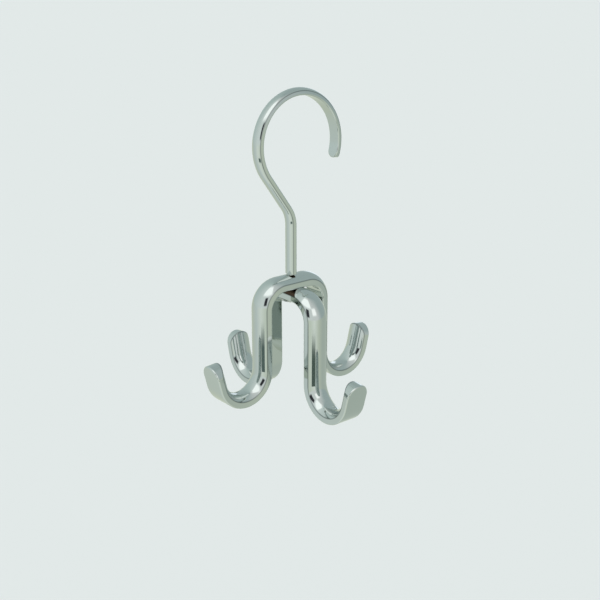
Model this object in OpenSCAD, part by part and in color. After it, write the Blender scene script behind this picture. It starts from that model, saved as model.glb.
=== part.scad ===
// Swivelling tie and belt hanger: a hook for a closet rod that carries a pair of crossed double hooks.
// The origin is the centre of the loop that goes over the rod. +Z is up, and the loop's axis is +Y.
// The upper double hook runs along X, in the loop's plane. The lower one runs along Y, a little off the
// swivel's axis.

/* [Hanging hook] */
// Radius of the loop's flat inner face, where the closet rod lies
loop_r = 22; // [18:0.5:30]
// How far the loop goes on below the level of its centre before its tip, in degrees
loop_dip = 13.3; // [0:0.1:20]
// Length of the straight tip that ends the loop
loop_tip = 4; // [3.8:0.1:6]
// Lean of the slanted stretch that joins the loop to the stem, from upright, in degrees
slant_angle = 36.2; // [30:0.1:45]
// Distance from the loop's centre back to the stem's axis
stem_offset = 4.9; // [0:0.1:6]
// Radius of the bend at the stem's top, measured to the wire's flat face
stem_bend_r = 16.2; // [8:0.2:18]
// Height from the loop's centre down to the top of the upper double hook
drop = 62.3; // [56:0.1:90]
// Width of the hanging hook's wire
wire_w = 6.8; // [5.4:0.1:7.4]
// Thickness of the wire, from its flat face to its crown
wire_t = 3.4; // [3.2:0.1:3.8]
// Height of the wire's side walls, up to the crease where the crown starts
wire_wall = 2.1; // [1.4:0.1:2.4]

/* [Double hooks] */
// Width of the bar
bar_w = 12.6; // [10:0.1:14]
// Thickness of the bar, from its flat face to its crown
bar_t = 5.9; // [5:0.1:6.6]
// Height of the bar's side walls, up to the crease where the crown starts
bar_wall = 3.1; // [2:0.1:3.6]
// Clear distance between the flat faces of a double hook's two legs
leg_gap = 31.2; // [28:0.2:40]
// Inner radius of the knuckle between the arch and a leg
knuckle_r = 8.4; // [4:0.2:9]
// Height of the upper double hook, from under its arch down to its cups' centres
upper_leg_h = 37.6; // [24:0.2:60]
// Height of the lower double hook, from under its arch down to its cups' centres
lower_leg_h = 39; // [24:0.2:60]
// Radius of a cup, measured to the crown's crest, where a belt or ring lies
cup_r = 9.4; // [7:0.1:12]
// Turn of a cup from its leg round to its tip, in degrees
cup_turn = 165.9; // [140:0.1:180]
// Length of a cup's straight tip, with its round end
tip_len = 12.2; // [8:0.2:16]
// How far the lower double hook's middle lies from the swivel's axis, towards the side of the loop's tip
lower_shift = 1.4; // [0:0.1:2]
// Depth of the flat seat in the lower bar's crown that the upper bar lies in
seat_depth = 0.3; // [0.2:0.05:0.6]
// Gap between each side of that seat and the upper bar
seat_clear = 0.1; // [0.05:0.05:0.3]

/* [Swivel] */
// Diameter of the tenon below the stem, which both bars turn on
tenon_d = 3; // [2.4:0.1:3.2]
// Gap between the tenon and each hole, on the radius
tenon_clear = 0.05; // [0.02:0.01:0.1]
// Gap between the stem's end and the crest of the upper bar
stem_play = 0.3; // [0.2:0.05:0.6]
// Gap between the lower bar's underside and the washer
washer_play = 0.05; // [0.02:0.01:0.2]
// Outer diameter of the washer
washer_d = 9; // [7:0.5:12]
// Thickness of the washer
washer_t = 1; // [0.6:0.1:1.6]
// Diameter of the head that is peened on the tenon
head_d = 5.4; // [4.4:0.1:6.4]
// Height of that head
head_h = 1.5; // [1:0.1:2]

/* [Hidden] */
$fn = 128;
chrome_colour = [0.74, 0.77, 0.76];
steel_colour = [0.62, 0.63, 0.62];
// Cuts and bores run this far past the faces that they go through
past = 1;

// The slant's flat face touches the loop at one end and meets the stem's flat face at the other
stem_flat_x = wire_t / 2 - stem_offset;
slant_full = (stem_flat_x + loop_r * cos(slant_angle)) / sin(slant_angle);
slant_foot_z = -loop_r * sin(slant_angle) - slant_full * cos(slant_angle);
bend_tangent = stem_bend_r * tan(slant_angle / 2);
slant_len = slant_full - bend_tangent;
stem_end_z = -drop + stem_play;
stem_len = slant_foot_z - bend_tangent - stem_end_z;
loop_turn = 180 + slant_angle + loop_dip;

// Heights of the two arches' flat undersides, and of the swivel's pieces below them
upper_flat_z = -drop - bar_t;
lower_flat_z = upper_flat_z + seat_depth - bar_t;
washer_top_z = lower_flat_z - washer_play;
head_top_z = washer_top_z - washer_t;
hole_d = tenon_d + 2 * tenon_clear;

// Outline of a crowned bar: flat face on the Y axis, crown towards +X. It is spare wider at each side
module crowned_section(w, t, wall, spare = 0) {
    rise = t - wall;
    crown_r = (w * w / 4 + rise * rise) / (2 * rise);
    intersection() {
        translate([0, -w / 2 - spare]) square([t + past, w + 2 * spare]);
        translate([t - crown_r, 0]) circle(r = crown_r);
    }
}

// A bar is made of stretches. Each starts at the origin, runs up Z and has its crown towards +X,
// and what follows it is placed at its far end in the same way.
module straight(size, length) {
    linear_extrude(height = length) crowned_section(size[0], size[1], size[2]);
    translate([0, 0, length]) children();
}

// What a bend keeps of its ring: the turn from the XY plane round to that plane in the next stretch's frame
module wedge(reach, turn, away) {
    module ahead() {
        translate([-reach, -reach, 0]) cube([2 * reach, 2 * reach, reach]);
    }
    module behind() {
        rotate([0, -away * turn, 0]) translate([-reach, -reach, -reach]) cube([2 * reach, 2 * reach, reach]);
    }
    if (turn > 180) union() {
        ahead();
        behind();
    } else intersection() {
        ahead();
        behind();
    }
}

// Bend with the flat face at radius r. It turns away from the crown where away is 1, towards it where -1
module bend(size, r, turn, away) {
    translate([-away * r, 0, 0]) {
        intersection() {
            rotate([90, 0, 0]) rotate_extrude() translate([r, 0]) rotate(away > 0 ? 0 : 180)
                crowned_section(size[0], size[1], size[2]);
            wedge(r + size[0] + size[1], turn, away);
        }
        rotate([0, -away * turn, 0]) translate([away * r, 0, 0]) children();
    }
}

// Straight tip whose end is a half circle as wide as the bar
module round_tip(size, length) {
    end_r = size[0] / 2;
    straight(size, length - end_r) intersection() {
        linear_extrude(height = end_r + past) crowned_section(size[0], size[1], size[2], spare = past);
        translate([-past, 0, 0]) rotate([0, 90, 0]) cylinder(h = size[1] + 2 * past, r = end_r);
    }
}

// One inverted U of bar with a cup at each leg's foot, along X, with its arch's flat face at z = 0
module double_hook_bar(leg_h) {
    size = [bar_w, bar_t, bar_wall];
    for (side = [0, 180]) rotate([0, 0, side]) rotate([0, -90, 0])
        straight(size, leg_gap / 2 - knuckle_r)
        bend(size, knuckle_r, 90, away = 1)
        straight(size, leg_h - knuckle_r)
        bend(size, cup_r + bar_t, cup_turn, away = -1)
        round_tip(size, tip_len);
}

// Bore on the swivel's axis through a bar whose flat underside is at z = 0
module swivel_hole(height) {
    translate([0, 0, -past]) cylinder(h = height + 2 * past, d = hole_d);
}

module upper_double_hook() {
    color(chrome_colour) translate([-stem_offset, 0, upper_flat_z]) difference() {
        double_hook_bar(upper_leg_h);
        swivel_hole(bar_t);
    }
}

module lower_double_hook() {
    seat_w = bar_w + 2 * seat_clear;
    color(chrome_colour) translate([-stem_offset, 0, lower_flat_z]) difference() {
        translate([lower_shift, 0, 0]) rotate([0, 0, 90]) difference() {
            double_hook_bar(lower_leg_h);
            translate([-seat_w / 2, -bar_w / 2 - past, bar_t - seat_depth])
                cube([seat_w, bar_w + 2 * past, seat_depth + past]);
        }
        swivel_hole(bar_t);
    }
}

// The hook's wire, its tenon and the peened head are one piece of steel
module hanging_hook() {
    size = [wire_w, wire_t, wire_wall];
    head_r = (head_d * head_d / 4 + head_h * head_h) / (2 * head_h);
    color(chrome_colour) {
        translate([stem_flat_x, 0, stem_end_z]) rotate([0, 0, 180])
            straight(size, stem_len)
            bend(size, stem_bend_r, slant_angle, away = -1)
            straight(size, slant_len)
            bend(size, loop_r, loop_turn, away = 1)
            round_tip(size, loop_tip);
        translate([-stem_offset, 0, head_top_z])
            cylinder(h = stem_end_z - head_top_z, d = tenon_d);
        translate([-stem_offset, 0, head_top_z - head_h]) intersection() {
            translate([0, 0, head_r]) sphere(r = head_r);
            cylinder(h = head_h, d = head_d + past);
        }
    }
}

module retaining_washer() {
    color(steel_colour) translate([-stem_offset, 0, head_top_z]) difference() {
        cylinder(h = washer_t, d = washer_d);
        translate([0, 0, -past]) cylinder(h = washer_t + 2 * past, d = hole_d);
    }
}

hanging_hook();
upper_double_hook();
lower_double_hook();
retaining_washer();
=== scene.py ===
"""Looks of the swivelling tie hanger.

Lengths are in metres, in the part's own frame: the origin is the loop's centre, and +Z is up.
"""

from collections import namedtuple
import math

import bmesh
import bpy
import numpy as np
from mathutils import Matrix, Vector


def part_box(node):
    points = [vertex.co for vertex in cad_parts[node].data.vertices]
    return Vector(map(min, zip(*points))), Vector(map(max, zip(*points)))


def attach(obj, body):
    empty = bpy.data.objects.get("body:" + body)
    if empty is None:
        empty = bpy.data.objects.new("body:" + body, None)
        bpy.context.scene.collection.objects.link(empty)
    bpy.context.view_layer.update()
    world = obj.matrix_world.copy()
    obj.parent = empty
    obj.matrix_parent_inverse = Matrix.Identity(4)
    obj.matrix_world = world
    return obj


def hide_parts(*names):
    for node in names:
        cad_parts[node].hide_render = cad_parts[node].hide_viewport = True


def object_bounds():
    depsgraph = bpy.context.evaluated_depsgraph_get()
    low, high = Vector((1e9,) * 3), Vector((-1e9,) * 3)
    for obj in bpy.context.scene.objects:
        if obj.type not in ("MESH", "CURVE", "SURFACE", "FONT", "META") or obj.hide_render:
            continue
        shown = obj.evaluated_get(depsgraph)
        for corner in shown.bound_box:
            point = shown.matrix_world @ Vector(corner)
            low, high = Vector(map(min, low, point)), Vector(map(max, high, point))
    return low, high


MM = 0.001
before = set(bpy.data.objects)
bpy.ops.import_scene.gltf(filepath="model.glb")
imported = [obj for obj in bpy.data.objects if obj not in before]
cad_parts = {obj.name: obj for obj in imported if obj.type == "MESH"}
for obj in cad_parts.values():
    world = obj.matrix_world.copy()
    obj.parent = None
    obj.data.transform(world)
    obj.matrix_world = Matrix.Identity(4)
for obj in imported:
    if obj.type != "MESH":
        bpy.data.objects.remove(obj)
cad_low, cad_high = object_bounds()

# Bar of the double hooks: width, thickness, height of the side walls
BAR = (12.6 * MM, 5.9 * MM, 3.1 * MM)
LEG_GAP = 31.2 * MM
KNUCKLE_R = 8.4 * MM
CUP_R = 9.4 * MM
CUP_TURN = 165.9
TIP_LEN = 12.2 * MM

# Wire of the hanging hook, the same three sizes
WIRE = (6.8 * MM, 3.4 * MM, 2.1 * MM)
LOOP_R = 22 * MM
LOOP_DIP = 13.3
LOOP_TIP = 4 * MM
SLANT_ANGLE = 36.2
STEM_BEND_R = 16.2 * MM

# Swivel: the tenon with its peened head, and the gaps at the stem's end and round the tenon
TENON_R = 1.5 * MM
TENON_CLEAR = 0.05 * MM
HEAD_R = 2.7 * MM
HEAD_H = 1.5 * MM
STEM_PLAY = 0.3 * MM

# Softening of the edges: crown to wall, wall to flat face, the stem's end, the washer's rims, the
# tenon's corners and the head's rim
CROWN_EDGE = 0.45 * MM
FLAT_EDGE = 0.7 * MM
END_EDGE = 0.25 * MM
WASHER_EDGE = 0.15 * MM
TENON_EDGE = 0.05 * MM
HEAD_EDGE = 0.1 * MM

# The side walls lean in towards the crown, as a cast or rolled bar's do
WALL_LEAN = math.radians(8)

# Fineness of the meshes
DEGREES_PER_RING = 2.5
STRAIGHT_STEP = 3 * MM
CROWN_POINTS = 12
EDGE_POINTS = 7
WALL_POINTS = 3
FLAT_POINTS = 6
TIP_FANS = 48
ROUND_POINTS = 96
HEAD_RINGS = 10
EDGE_TURNS = (0, 30, 60, 90)

# Halvings in the search for the place where the crown ends and its edge's round starts
HALVINGS = 40

ALONG_X = Vector((1, 0, 0))
ALONG_Y = Vector((0, 1, 0))
UP = np.array((0, 0, 1.0))

# Places taken from the frame
upper_low, upper_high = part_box("upper_double_hook")
washer_low, washer_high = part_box("retaining_washer")
AXIS_X = (upper_low.x + upper_high.x) / 2
STEM_END = upper_high.z + STEM_PLAY
HEAD_TOP = washer_low.z
ARCH_FLAT = upper_high.z - BAR[1]

# Chrome plate: two tints in soft clouds, and the least and greatest roughness of each piece
CHROME = (0.60, 0.64, 0.62)
CHROME_DEEP = (0.56, 0.60, 0.58)
CLOUDS = dict(Scale=60.0, Detail=3.0, Roughness=0.5)
HOOK_GLOSS = (0.07, 0.12)
BAR_GLOSS = (0.04, 0.08)

# Smudges that dull the plate, and which part of their noise counts
SMUDGES = dict(Scale=140.0, Detail=4.0, Roughness=0.6)
SMUDGE_SPAN = (0.35, 0.75)

# Waves of the plating and the scratches of handling, which run up and down
WAVES = dict(Scale=180.0, Detail=1.0, Roughness=0.4)
WAVE_RELIEF = dict(Strength=0.04, Distance=0.2 * MM)
SCRATCHES = dict(Scale=1.0, Detail=2.0)
SCRATCH_STRETCH = (9000.0, 9000.0, 500.0)
SCRATCH_RELIEF = dict(Strength=0.012, Distance=0.02 * MM)

# Painted shade: a dark line along the creases that stands in for the dark reflection there, and how much of
# its colour shows
CREASE_SHADE_COLOUR = (0.12, 0.14, 0.14)
CREASE_SHADE_SHARE = 0.6
CREASE_SHADE_SPAN = (0.5, 1.0)

# Painted shade on the upper arch's underside about the swivel, where the bars shade each other: its radius
# and the fade beyond it, how far a face points down to carry it, and the heights below the arch's flat face
# between which it starts
SWIVEL_SHADE_COLOUR = (0.12, 0.07, 0.05)
SWIVEL_SHADE_R = 8 * MM
SWIVEL_SHADE_FADE = 4 * MM
SWIVEL_SHADE_FACING = (-0.5, -0.9)
SWIVEL_SHADE_DEPTHS = (2 * MM, 1 * MM)

# Washer's steel: two tints in fine turned rings, and their roughness and relief
STEEL = (0.50, 0.51, 0.50)
STEEL_PALE = (0.60, 0.61, 0.60)
STEEL_GLOSS = (0.28, 0.4)
TURNED_RINGS = dict(Scale=900.0, Distortion=1.5)
RING_RELIEF = dict(Strength=0.15, Distance=0.03 * MM)

# Backdrop and floor
BACKGROUND = (0.76, 0.815, 0.807)
FLOOR_DROP = 320 * MM
FLOOR_R = 30.0

# Surfaces of the studio that the chrome mirrors
BACK_PAPER = (0.58, 0.69, 0.67)
LEFT_SCREEN = (0.86, 0.93, 0.92)
FRONT_SCREEN = (0.84, 0.86, 0.86)
RIGHT_WALL = (0.46, 0.55, 0.55)
BRIGHT_FLOOR = (0.92, 0.98, 0.91)
GREEN_FLOOR = (0.66, 0.72, 0.61)
PALE_FLOOR = (0.75, 0.82, 0.71)
BLUE_FLOOR = (0.70, 0.78, 0.77)
DARK_FLOOR = (0.54, 0.61, 0.55)

# Where they stand round the hanger, by azimuth in degrees: overhead, level with it, and below
OVERHEAD = ((-180, BACK_PAPER), (-100, LEFT_SCREEN), (-20, FRONT_SCREEN),
            (70, RIGHT_WALL), (140, RIGHT_WALL), (180, BACK_PAPER))
ROUND_ABOUT = ((-180, BACK_PAPER), (-85, LEFT_SCREEN), (10, FRONT_SCREEN),
               (45, RIGHT_WALL), (140, RIGHT_WALL), (180, BACK_PAPER))
BELOW = ((-180, GREEN_FLOOR), (-125, BLUE_FLOOR), (-85, BRIGHT_FLOOR), (-48, PALE_FLOOR),
         (-15, BRIGHT_FLOOR), (20, GREEN_FLOOR), (50, DARK_FLOOR), (100, DARK_FLOOR),
         (140, GREEN_FLOOR), (180, GREEN_FLOOR))

# Elevations in degrees between which each of them passes into the next one up
FLOOR_BLEND = (-6, 2)
CEILING_BLEND = (30, 60)

# Cards that stand before those: middle and half size as azimuth and elevation, and soft edge, in degrees
Card = namedtuple("Card", "middle half soft colour")
KEY_SOFTBOX = Card((-62, 60), (36, 19), 6, (1.45, 1.48, 1.48))
FRONT_SOFTBOX = Card((-8, 28), (15, 13), 5, (1.45, 1.45, 1.45))
DARK_FLAG = Card((-57, 20), (10, 14), 3, (0.04, 0.04, 0.05))
WINDOW_STRIP = Card((131, 0), (7, 13), 4, (1.1, 1.2, 1.3))
LEFT_LOW_FLAG = Card((-74, -25.3), (13, 3.4), 1.2, (0.12, 0.17, 0.16))
RIGHT_LOW_FLAG = Card((-20, -26.1), (13, 3.4), 1.2, (0.10, 0.14, 0.12))
STUDIO_CARDS = (KEY_SOFTBOX, FRONT_SOFTBOX, DARK_FLAG, WINDOW_STRIP, LEFT_LOW_FLAG, RIGHT_LOW_FLAG)

# Camera: the place that it looks at, how far off it is and in which direction, and its lens in millimetres
CAMERA_AIM = Vector((-2.47, -4.46, -74.67)) * MM
CAMERA_DISTANCE = 468.5 * MM
CAMERA_AZIMUTH = math.radians(-39.5)
CAMERA_ELEVATION = math.radians(18.48)
CAMERA_LENS = 58.44
CAMERA_SENSOR = 36
CAMERA_CLIP = (0.01, 100)

# Sockets of a Mix node that mixes colours
MIX_SHARE, MIX_FIRST, MIX_SECOND, MIX_RESULT = 0, 6, 7, 2


def half_profile(size, share):
    """Half of a bar's outline, from the crown's middle round the edge to the flat face's middle.

    share is how much of the way out from the middle goes across the width: 1 on the bar, and less
    in its round tip. Gives the ways out, the heights, the outline's directions as (out, up), and
    the crease's mark: 1 on the round between crown and wall, 0 elsewhere.
    """
    width, thickness, wall = size
    reach = width / 2
    rise = thickness - wall
    slant = math.tan(WALL_LEAN)
    crown_reach = reach - wall * slant
    radius = (crown_reach ** 2 + rise ** 2) / (2 * rise)

    def crown(out):
        """The crown's height and direction at a way out."""
        root = math.sqrt(radius ** 2 - (share * out) ** 2)
        slope = -share * share * out / root
        length = math.hypot(1, slope)
        return thickness - radius + root, 1 / length, slope / length

    def under_crown(out):
        """Centre of the edge's round that touches the crown at a way out."""
        up, direction_out, direction_up = crown(out)
        return out + CROWN_EDGE * direction_up, up - CROWN_EDGE * direction_out

    def inside_wall(up, edge):
        """How far out the centre of an edge's round lies, at a height, to touch the wall."""
        return reach - up * slant - edge / math.cos(WALL_LEAN)

    def arc(out, up, edge, start, end):
        turns = [start + (end - start) * k / (EDGE_POINTS - 1) for k in range(EDGE_POINTS)]
        return [(out + edge * math.cos(t), up + edge * math.sin(t), math.sin(t), -math.cos(t)) for t in turns]

    # The crown ends where the round that touches it touches the wall too
    low, high = reach / 2, reach
    for _ in range(HALVINGS):
        middle = (low + high) / 2
        centre, centre_up = under_crown(middle)
        if centre < inside_wall(centre_up, CROWN_EDGE):
            low = middle
        else:
            high = middle
    crown_end = (low + high) / 2
    centre_up = under_crown(crown_end)[1]
    _, direction_out, direction_up = crown(crown_end)
    crown_lean = math.atan2(direction_out, -direction_up)

    wall_top = centre_up + CROWN_EDGE * math.sin(WALL_LEAN)
    wall_foot = FLAT_EDGE + FLAT_EDGE * math.sin(WALL_LEAN)
    wall_ups = [wall_top + (wall_foot - wall_top) * k / WALL_POINTS for k in range(1, WALL_POINTS)]
    foot = inside_wall(FLAT_EDGE, FLAT_EDGE)

    crown_outs = [crown_end * k / CROWN_POINTS for k in range(CROWN_POINTS)]
    points = [(out, *crown(out)) for out in crown_outs]
    points += arc(inside_wall(centre_up, CROWN_EDGE), centre_up, CROWN_EDGE, crown_lean, WALL_LEAN)
    points += [(reach - up * slant, up, math.sin(WALL_LEAN), -math.cos(WALL_LEAN)) for up in wall_ups]
    points += arc(foot, FLAT_EDGE, FLAT_EDGE, WALL_LEAN, -math.pi / 2)
    points += [(foot * (1 - k / FLAT_POINTS), 0, -1, 0) for k in range(1, FLAT_POINTS + 1)]
    points = np.array(points)
    marks = np.zeros(len(points))
    marks[CROWN_POINTS:CROWN_POINTS + EDGE_POINTS] = 1
    return points[:, 0], points[:, 1], points[:, 2:], marks


class Route:
    """Middle line of a bar's flat face, walked in an upright plane with the crown on the right hand."""

    def __init__(self, start, across, heading):
        self.across = np.array(across, float)
        self.along = np.cross(self.across, UP)
        self.places = [np.array(start, float)]
        self.headings = [math.radians(heading)]

    def way(self, heading):
        return math.cos(heading) * self.along + math.sin(heading) * UP

    def crown(self, heading):
        return math.sin(heading) * self.along - math.cos(heading) * UP

    def straight(self, length):
        first, heading = self.places[-1], self.headings[-1]
        steps = max(1, round(length / STRAIGHT_STEP))
        for k in range(1, steps + 1):
            self.places.append(first + self.way(heading) * length * k / steps)
            self.headings.append(heading)
        return self

    def bend(self, radius, turn):
        """Turns left, away from the crown, where turn is positive, and towards it where it is negative."""
        out = -math.copysign(radius, turn)
        heading = self.headings[-1]
        centre = self.places[-1] + out * self.crown(heading)
        steps = max(1, round(abs(turn) / DEGREES_PER_RING))
        for k in range(1, steps + 1):
            now = heading + math.radians(turn) * k / steps
            self.places.append(centre - out * self.crown(now))
            self.headings.append(now)
        return self

    def with_mirror_image(self):
        """Puts the mirror image of the route in front of it, for a bar with two like halves."""
        start = self.places[0]
        flip = [p - 2 * np.dot(p - start, self.along) * self.along for p in self.places[:0:-1]]
        self.places = flip + self.places
        self.headings = [-h for h in self.headings[:0:-1]] + self.headings
        return self


class Skin:
    """Vertices with their true normals and the creases' marks, and faces, of one closed piece."""

    def __init__(self):
        self.places, self.normals, self.marks, self.faces = [], [], [], []

    def add(self, place, normal, mark=0.0):
        self.places.append(np.array(place, float))
        self.normals.append(np.array(normal, float) / np.linalg.norm(normal))
        self.marks.append(mark)
        return len(self.places) - 1

    def band(self, first, second):
        for k in range(len(first)):
            j = (k + 1) % len(first)
            self.faces.append((first[k], first[j], second[j], second[k]))

    def close(self, ring, place, normal):
        """Fan of triangles from a ring to one point."""
        top = self.add(place, normal)
        for k in range(len(ring)):
            self.faces.append((ring[k], ring[(k + 1) % len(ring)], top))

    def turned(self, axis, turns, point):
        """Ring about an upright axis. The point is the way out, the height and its normal's two parts."""
        out, up, normal_out, normal_up = point
        return [self.add((axis[0] + out * math.cos(t), axis[1] + out * math.sin(t), up),
                         (normal_out * math.cos(t), normal_out * math.sin(t), normal_up)) for t in turns]

    def outline(self, size, route, place, heading):
        """One ring of a bar's outline: the half on the across side first, then the other half backwards."""
        outs, ups, ways, marks = half_profile(size, 1)
        crown, count = route.crown(heading), len(outs)
        ring = []
        for side, order in ((1, range(count)), (-1, range(count - 2, 0, -1))):
            for k in order:
                sideways = side * route.across
                ring.append(self.add(place + outs[k] * sideways + ups[k] * crown,
                                     -ways[k][1] * sideways + ways[k][0] * crown, marks[k]))
        return ring

    def sweep(self, size, route):
        """Rings along a whole route, joined. Gives the first and the last one."""
        rings = [self.outline(size, route, p, h) for p, h in zip(route.places, route.headings)]
        for first, second in zip(rings, rings[1:]):
            self.band(first, second)
        return rings[0], rings[-1]

    def round_tip(self, size, ring, place, way, crown, across):
        """Closes a bar with an end that is a half circle in plan, as a fan about the last ring's middle."""
        count = len(ring) // 2 + 1
        heart = place + crown * size[1] / 2
        nudge = 1e-3
        marks = half_profile(size, 1)[3]

        def spoke_line(turn):
            outs, ups, ways, _ = half_profile(size, abs(math.sin(turn)))
            spoke = math.cos(turn) * way + math.sin(turn) * across
            return (place + outs[:, None] * spoke + ups[:, None] * crown,
                    ways[:, :1] * spoke + ways[:, 1:] * crown)

        rows = [ring[:count]]
        for step in range(1, TIP_FANS):
            turn = math.pi / 2 - math.pi * step / TIP_FANS
            places, ways = spoke_line(turn)
            normals = np.cross(ways, spoke_line(turn + nudge)[0] - spoke_line(turn - nudge)[0])
            signs = np.sign(np.sum(normals * (places - heart), axis=1))
            rows.append([ring[0]] + [self.add(places[k], signs[k] * normals[k], marks[k])
                                     for k in range(1, count - 1)] + [ring[count - 1]])
        rows.append([ring[0]] + [ring[-k] for k in range(1, count - 1)] + [ring[count - 1]])
        for first, second in zip(rows, rows[1:]):
            for k in range(count - 1):
                corners = (first[k], first[k + 1], second[k + 1], second[k])
                self.faces.append(tuple(dict.fromkeys(corners)))

    def piece(self, name):
        """The finished object, with faces turned outwards and the true normals kept."""
        mesh = bpy.data.meshes.new(name)
        mesh.from_pydata([tuple(p) for p in self.places], [], self.faces)
        turned = bmesh.new()
        turned.from_mesh(mesh)
        bmesh.ops.recalc_face_normals(turned, faces=turned.faces)
        turned.to_mesh(mesh)
        turned.free()
        mesh.polygons.foreach_set("use_smooth", [True] * len(mesh.polygons))
        mesh.normals_split_custom_set_from_vertices([tuple(n) for n in self.normals])
        mesh.attributes.new("crease_shade_mask", "FLOAT", "POINT").data.foreach_set("value", self.marks)
        made = bpy.data.objects.new(name, mesh)
        bpy.context.scene.collection.objects.link(made)
        return made


def double_hook(name, node, across):
    """An inverted U of bar with a cup at each leg's foot."""
    low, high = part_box(node)
    middle = (low + high) / 2
    arch_flat = high.z - BAR[1]
    cup_centre = low.z + CUP_R + BAR[1]
    route = Route((middle.x, middle.y, arch_flat), across, 180)
    route.straight(LEG_GAP / 2 - KNUCKLE_R).bend(KNUCKLE_R, 90)
    route.straight(arch_flat - KNUCKLE_R - cup_centre).bend(CUP_R + BAR[1], -CUP_TURN)
    route.straight(TIP_LEN - BAR[0] / 2).with_mirror_image()
    skin = Skin()
    first, last = skin.sweep(BAR, route)
    for ring, place, heading, way in ((first, route.places[0], route.headings[0], -1),
                                      (last, route.places[-1], route.headings[-1], 1)):
        skin.round_tip(BAR, ring, place, way * route.way(heading), route.crown(heading), route.across)
    return skin.piece(name)


def wire_route():
    """The hanging hook's wire from the stem's foot round to the loop's tip."""
    flat_x = AXIS_X + WIRE[1] / 2
    slant = math.radians(SLANT_ANGLE)
    slant_full = (flat_x + LOOP_R * math.cos(slant)) / math.sin(slant)
    slant_foot = -LOOP_R * math.sin(slant) - slant_full * math.cos(slant)
    tangent = STEM_BEND_R * math.tan(slant / 2)
    route = Route((flat_x, 0, STEM_END + END_EDGE), -ALONG_Y, 90)
    route.straight(slant_foot - tangent - STEM_END - END_EDGE).bend(STEM_BEND_R, -SLANT_ANGLE)
    route.straight(slant_full - tangent).bend(LOOP_R, 180 + SLANT_ANGLE + LOOP_DIP)
    return route.straight(LOOP_TIP - WIRE[0] / 2)


def stem_rim(skin, foot):
    """Rounds the edge of the stem's end below its first ring. Gives the last ring."""
    places = [skin.places[v] for v in foot]
    normals = [skin.normals[v] for v in foot]
    ring = foot
    for turn in EDGE_TURNS[1:]:
        cosine, sine = math.cos(math.radians(turn)), math.sin(math.radians(turn))
        rim = [skin.add(p - n * END_EDGE * (1 - cosine) - UP * END_EDGE * sine, n * cosine - UP * sine)
               for p, n in zip(places, normals)]
        skin.band(ring, rim)
        ring = rim
    return ring


def tenon_profile():
    """Outline of the tenon and its peened head, from the stem's end down: way out, height, normal."""
    profile = [(TENON_R, STEM_END, 0, -1),
               (TENON_R, STEM_END - TENON_EDGE, 1, 0),
               (TENON_R, HEAD_TOP + TENON_EDGE, 1, 0),
               (TENON_R + TENON_EDGE, HEAD_TOP, 0, 1),
               (HEAD_R - HEAD_EDGE, HEAD_TOP, 0, 1)]
    dome_r = (HEAD_R ** 2 + HEAD_H ** 2) / (2 * HEAD_H)
    dome_half = math.asin(HEAD_R / dome_r)
    for k in range(HEAD_RINGS):
        lean = dome_half * (1 - k / HEAD_RINGS)
        profile.append((dome_r * math.sin(lean), HEAD_TOP - HEAD_H + dome_r * (1 - math.cos(lean)),
                        math.sin(lean), -math.cos(lean)))
    return profile


def hanging_hook(name):
    """The wire, and below its stem the tenon with the peened head, as one piece."""
    route = wire_route()
    skin = Skin()
    foot, last = skin.sweep(WIRE, route)
    heading = route.headings[-1]
    skin.round_tip(WIRE, last, route.places[-1], route.way(heading), route.crown(heading), route.across)
    ring = stem_rim(skin, foot)
    turns = [math.atan2(skin.places[v][1], skin.places[v][0] - AXIS_X) for v in ring]
    for point in tenon_profile():
        turned = skin.turned((AXIS_X, 0), turns, point)
        skin.band(ring, turned)
        ring = turned
    skin.close(ring, (AXIS_X, 0, HEAD_TOP - HEAD_H), (0, 0, -1))
    return skin.piece(name)


def washer(name, low, high):
    """Flat ring with rounded rims, turned about its middle."""
    middle = (low + high) / 2
    outer, inner = (high.x - low.x) / 2, TENON_R + TENON_CLEAR
    corners = ((outer, high.z, 90), (outer, low.z, 0), (inner, low.z, -90), (inner, high.z, 180))
    profile = []
    for out, up, start in corners:
        centre = out - WASHER_EDGE if out == outer else out + WASHER_EDGE
        centre_up = up - WASHER_EDGE if up == high.z else up + WASHER_EDGE
        for turn in EDGE_TURNS:
            cosine, sine = math.cos(math.radians(start - turn)), math.sin(math.radians(start - turn))
            profile.append((centre + WASHER_EDGE * cosine, centre_up + WASHER_EDGE * sine, cosine, sine))
    skin = Skin()
    turns = [2 * math.pi * k / ROUND_POINTS for k in range(ROUND_POINTS)]
    rings = [skin.turned((middle.x, middle.y), turns, point) for point in profile]
    for first, second in zip(rings, rings[1:] + rings[:1]):
        skin.band(first, second)
    return skin.piece(name)


def node_maker(tree):
    """Short hand for adding a node with its inputs set or linked, by name, or by place as i0, i1 and on."""
    def make(kind, **inputs):
        made = tree.nodes.new(kind)
        for key, value in inputs.items():
            socket = made.inputs[int(key[1:])] if key[0] == "i" and key[1:].isdigit() else made.inputs[key]
            if isinstance(value, bpy.types.NodeSocket):
                tree.links.new(value, socket)
            else:
                socket.default_value = value
        return made
    return make


def calculate(make, operation, first, second=0.0):
    made = make("ShaderNodeMath", i0=first, i1=second)
    made.operation = operation
    return made.outputs[0]


def spread(make, value, span, result):
    """A value moved evenly from one span to another, and held within it."""
    made = make("ShaderNodeMapRange", i0=value, i1=span[0], i2=span[1], i3=result[0], i4=result[1])
    return made.outputs[0]


def smooth_step(make, value, start, end):
    made = make("ShaderNodeMapRange", i0=value, i1=float(start), i2=float(end))
    made.interpolation_type = "SMOOTHSTEP"
    return made.outputs[0]


def blend(make, share, first, second):
    made = make("ShaderNodeMix")
    made.data_type = "RGBA"
    for index, value in ((MIX_SHARE, share), (MIX_FIRST, first), (MIX_SECOND, second)):
        if isinstance(value, bpy.types.NodeSocket):
            made.id_data.links.new(value, made.inputs[index])
        else:
            made.inputs[index].default_value = value
    return made.outputs[MIX_RESULT]


def noise(make, place, grain):
    return make("ShaderNodeTexNoise", Vector=place, **grain).outputs["Fac"]


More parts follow.
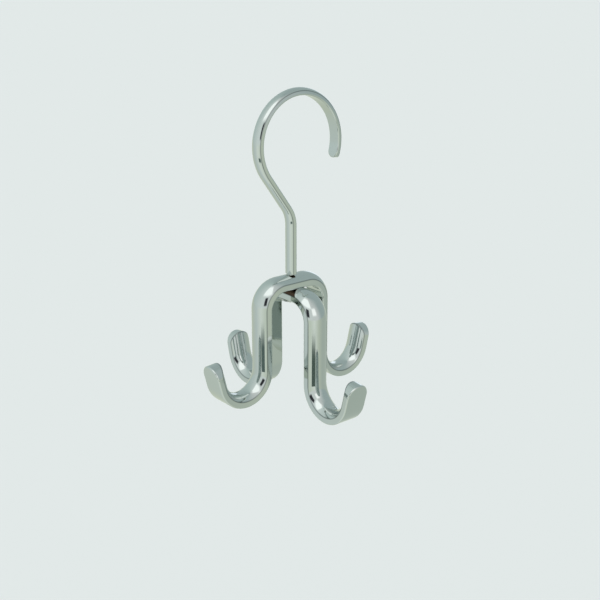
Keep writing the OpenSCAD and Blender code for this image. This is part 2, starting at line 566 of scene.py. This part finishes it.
def swivel_shade(make, place):
    """Mask of the painted shade: 1 on the upper arch's underside about the swivel, down to 0 outwards."""
    away = make("ShaderNodeVectorMath", i0=place, i1=(AXIS_X, 0, ARCH_FLAT))
    away.operation = "DISTANCE"
    near = smooth_step(make, away.outputs["Value"], SWIVEL_SHADE_R + SWIVEL_SHADE_FADE, SWIVEL_SHADE_R)
    facing = make("ShaderNodeSeparateXYZ", Vector=make("ShaderNodeNewGeometry").outputs["Normal"])
    below = smooth_step(make, facing.outputs[2], *SWIVEL_SHADE_FACING)
    height = make("ShaderNodeSeparateXYZ", Vector=place)
    on_upper = smooth_step(make, height.outputs[2], *(ARCH_FLAT - depth for depth in SWIVEL_SHADE_DEPTHS))
    return calculate(make, "MULTIPLY", calculate(make, "MULTIPLY", near, below), on_upper)


def new_metal(name):
    """A new material, its node maker, and the place on the piece."""
    material = bpy.data.materials.new(name)
    material.use_nodes = True
    material.node_tree.nodes.clear()
    make = node_maker(material.node_tree)
    return material, make, make("ShaderNodeTexCoord").outputs["Object"]


def finish_metal(make, colour, gloss, relief):
    shader = make("ShaderNodeBsdfPrincipled", Metallic=1.0, Roughness=gloss, Normal=relief,
                  **{"Base Color": colour})
    make("ShaderNodeOutputMaterial", Surface=shader.outputs[0])


def plated_material(name, gloss):
    """Polished chrome plate: faint waviness of the plating, fine handling scratches and soft smudges.

    The creases carry a painted dark line that stands in for the dark reflection there, and painted
    shade darkens the upper arch's underside about the swivel, where the two bars shade each other.
    """
    material, make, place = new_metal(name)
    colour = blend(make, noise(make, place, CLOUDS), (*CHROME, 1), (*CHROME_DEEP, 1))
    # Painted shade: a dark line on the creases' marks, standing in for the dark reflection along the creases
    crease = make("ShaderNodeAttribute")
    crease.attribute_name = "crease_shade_mask"
    crease_shade = smooth_step(make, crease.outputs["Fac"], *CREASE_SHADE_SPAN)
    colour = blend(make, calculate(make, "MULTIPLY", crease_shade, CREASE_SHADE_SHARE), colour, (*CREASE_SHADE_COLOUR, 1))
    # Painted shade: brown-black darkening on the upper arch's underside about the swivel, where the bars
    # shade each other
    colour = blend(make, swivel_shade(make, place), colour, (*SWIVEL_SHADE_COLOUR, 1))
    smudged = spread(make, noise(make, place, SMUDGES), SMUDGE_SPAN, gloss)
    swell = make("ShaderNodeBump", Height=noise(make, place, WAVES), **WAVE_RELIEF)
    stretched = make("ShaderNodeMapping", Vector=place, Scale=SCRATCH_STRETCH)
    scratched = noise(make, stretched.outputs[0], SCRATCHES)
    fine = make("ShaderNodeBump", Height=scratched, Normal=swell.outputs[0], **SCRATCH_RELIEF)
    finish_metal(make, colour, smudged, fine.outputs[0])
    return material


def turned_steel_material(name):
    """Brushed steel with fine rings round the swivel's axis."""
    material, make, place = new_metal(name)
    centred = make("ShaderNodeMapping", Vector=place, Location=(-AXIS_X, 0, 0))
    rings = make("ShaderNodeTexWave", Vector=centred.outputs[0], **TURNED_RINGS)
    rings.wave_type = "RINGS"
    rings.rings_direction = "Z"
    height = rings.outputs["Fac"]
    colour = blend(make, height, (*STEEL, 1), (*STEEL_PALE, 1))
    groove = make("ShaderNodeBump", Height=height, **RING_RELIEF)
    finish_metal(make, colour, spread(make, height, (0.0, 1.0), STEEL_GLOSS), groove.outputs[0])
    return material


def round_the_hanger(make, azimuth, colours):
    """Colour by azimuth, even between the given ones."""
    made = make("ShaderNodeValToRGB", Fac=spread(make, azimuth, (-180.0, 180.0), (0.0, 1.0)))
    stops = made.color_ramp.elements
    while len(stops) < len(colours):
        stops.new(1.0)
    for stop, (place, colour) in zip(stops, colours):
        stop.position = (place + 180) / 360
        stop.color = (*colour, 1)
    return made.outputs[0]


def studio_colour(tree, direction):
    """Colour that the chrome mirrors in a direction seen from the hanger."""
    make = node_maker(tree)
    way = make("ShaderNodeSeparateXYZ", Vector=direction)
    back = calculate(make, "MULTIPLY", way.outputs[1], -1.0)
    azimuth = calculate(make, "DEGREES", calculate(make, "ARCTAN2", way.outputs[0], back))
    elevation = calculate(make, "DEGREES", calculate(make, "ARCSINE", way.outputs[2]))
    above = smooth_step(make, elevation, *CEILING_BLEND)
    colour = blend(make, above, round_the_hanger(make, azimuth, ROUND_ABOUT),
                   round_the_hanger(make, azimuth, OVERHEAD))
    level = smooth_step(make, elevation, *FLOOR_BLEND)
    colour = blend(make, level, round_the_hanger(make, azimuth, BELOW), colour)
    for card in STUDIO_CARDS:
        share = 1.0
        for angle, centre, reach in zip((azimuth, elevation), card.middle, card.half):
            off = calculate(make, "ABSOLUTE", calculate(make, "SUBTRACT", angle, float(centre)))
            inside = smooth_step(make, off, reach + card.soft, reach - card.soft)
            share = calculate(make, "MULTIPLY", share, inside)
        colour = blend(make, share, colour, (*card.colour, 1))
    return colour


def mirrored(make):
    """1 on the rays that metal and glass send out, 0 on the others."""
    rays = make("ShaderNodeLightPath")
    return calculate(make, "MAXIMUM", rays.outputs["Is Glossy Ray"], rays.outputs["Is Transmission Ray"])


def floor_material():
    """Pale paper. In the chrome it shows the studio's light on it."""
    material = bpy.data.materials.new("floor_paper")
    material.use_nodes = True
    tree = material.node_tree
    make = node_maker(tree)
    paper = tree.nodes["Principled BSDF"]
    paper.inputs["Base Color"].default_value = (*BACKGROUND, 1)
    paper.inputs["Roughness"].default_value = 1.0
    paper.inputs["Specular IOR Level"].default_value = 0.0
    place = make("ShaderNodeNewGeometry").outputs["Position"]
    away = make("ShaderNodeVectorMath", i0=place, i1=tuple((cad_low + cad_high) / 2))
    away.operation = "SUBTRACT"
    way = make("ShaderNodeVectorMath", i0=away.outputs[0])
    way.operation = "NORMALIZE"
    glow = make("ShaderNodeEmission", Color=studio_colour(tree, way.outputs[0]), Strength=1.0)
    mix = make("ShaderNodeMixShader", i0=mirrored(make), i1=paper.outputs[0], i2=glow.outputs[0])
    tree.links.new(mix.outputs[0], tree.nodes["Material Output"].inputs[0])
    material.cycles.emission_sampling = "NONE"
    return material


def studio_floor():
    """Round floor that keeps the shadow."""
    mesh = bpy.data.meshes.new("studio_floor")
    build = bmesh.new()
    bmesh.ops.create_circle(build, cap_ends=True, radius=FLOOR_R, segments=ROUND_POINTS)
    build.to_mesh(mesh)
    build.free()
    mesh.materials.append(floor_material())
    floor = bpy.data.objects.new("studio_floor", mesh)
    floor.location.z = cad_low.z - FLOOR_DROP
    bpy.context.scene.collection.objects.link(floor)


def studio_world():
    """Plain white light, seen by the camera as the backdrop's colour and by the chrome as the studio."""
    world = bpy.data.worlds.new("studio")
    bpy.context.scene.world = world
    world.use_nodes = True
    tree = world.node_tree
    tree.nodes.clear()
    make = node_maker(tree)
    direction = make("ShaderNodeTexCoord").outputs["Generated"]
    camera_ray = make("ShaderNodeLightPath").outputs["Is Camera Ray"]
    light = make("ShaderNodeBackground", Color=(1, 1, 1, 1), Strength=1.0)
    paper = make("ShaderNodeBackground", Color=(*BACKGROUND, 1), Strength=1.0)
    studio = make("ShaderNodeBackground", Color=studio_colour(tree, direction), Strength=1.0)
    seen = make("ShaderNodeMixShader", i0=camera_ray, i1=light.outputs[0], i2=paper.outputs[0])
    mix = make("ShaderNodeMixShader", i0=mirrored(make), i1=seen.outputs[0], i2=studio.outputs[0])
    make("ShaderNodeOutputWorld", Surface=mix.outputs[0])


def photo_camera():
    """Camera at the photograph's viewing angle."""
    back = Vector((math.sin(CAMERA_AZIMUTH) * math.cos(CAMERA_ELEVATION),
                   -math.cos(CAMERA_AZIMUTH) * math.cos(CAMERA_ELEVATION),
                   math.sin(CAMERA_ELEVATION)))
    data = bpy.data.cameras.new("photo_camera")
    data.sensor_width = CAMERA_SENSOR
    data.lens = CAMERA_LENS
    data.clip_start, data.clip_end = CAMERA_CLIP
    camera = bpy.data.objects.new("photo_camera", data)
    camera.location = CAMERA_AIM + back * CAMERA_DISTANCE
    camera.rotation_mode = "QUATERNION"
    camera.rotation_quaternion = (-back).to_track_quat("-Z", "Y")
    bpy.context.scene.collection.objects.link(camera)
    bpy.context.scene.camera = camera


hook = hanging_hook("hook_wire")
upper = double_hook("upper_double_bar", "upper_double_hook", ALONG_Y)
lower = double_hook("lower_double_bar", "lower_double_hook", ALONG_X)
swivel_washer = washer("swivel_washer", washer_low, washer_high)

hook_chrome = plated_material("hook_chrome", HOOK_GLOSS)
bar_chrome = plated_material("bar_chrome", BAR_GLOSS)
steel = turned_steel_material("turned_steel")

for made, node, body, slot, material in (
        (hook, "hanging_hook", "hook", "chrome_hook", hook_chrome),
        (upper, "upper_double_hook", "cluster", "chrome_bar", bar_chrome),
        (lower, "lower_double_hook", "cluster", "chrome_bar", bar_chrome),
        (swivel_washer, "retaining_washer", "hook", "washer_steel", steel)):
    made.data.materials.append(material)
    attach(made, body)
    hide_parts(node)

studio_floor()
studio_world()
photo_camera()
bpy.context.scene.view_settings.view_transform = "Standard"
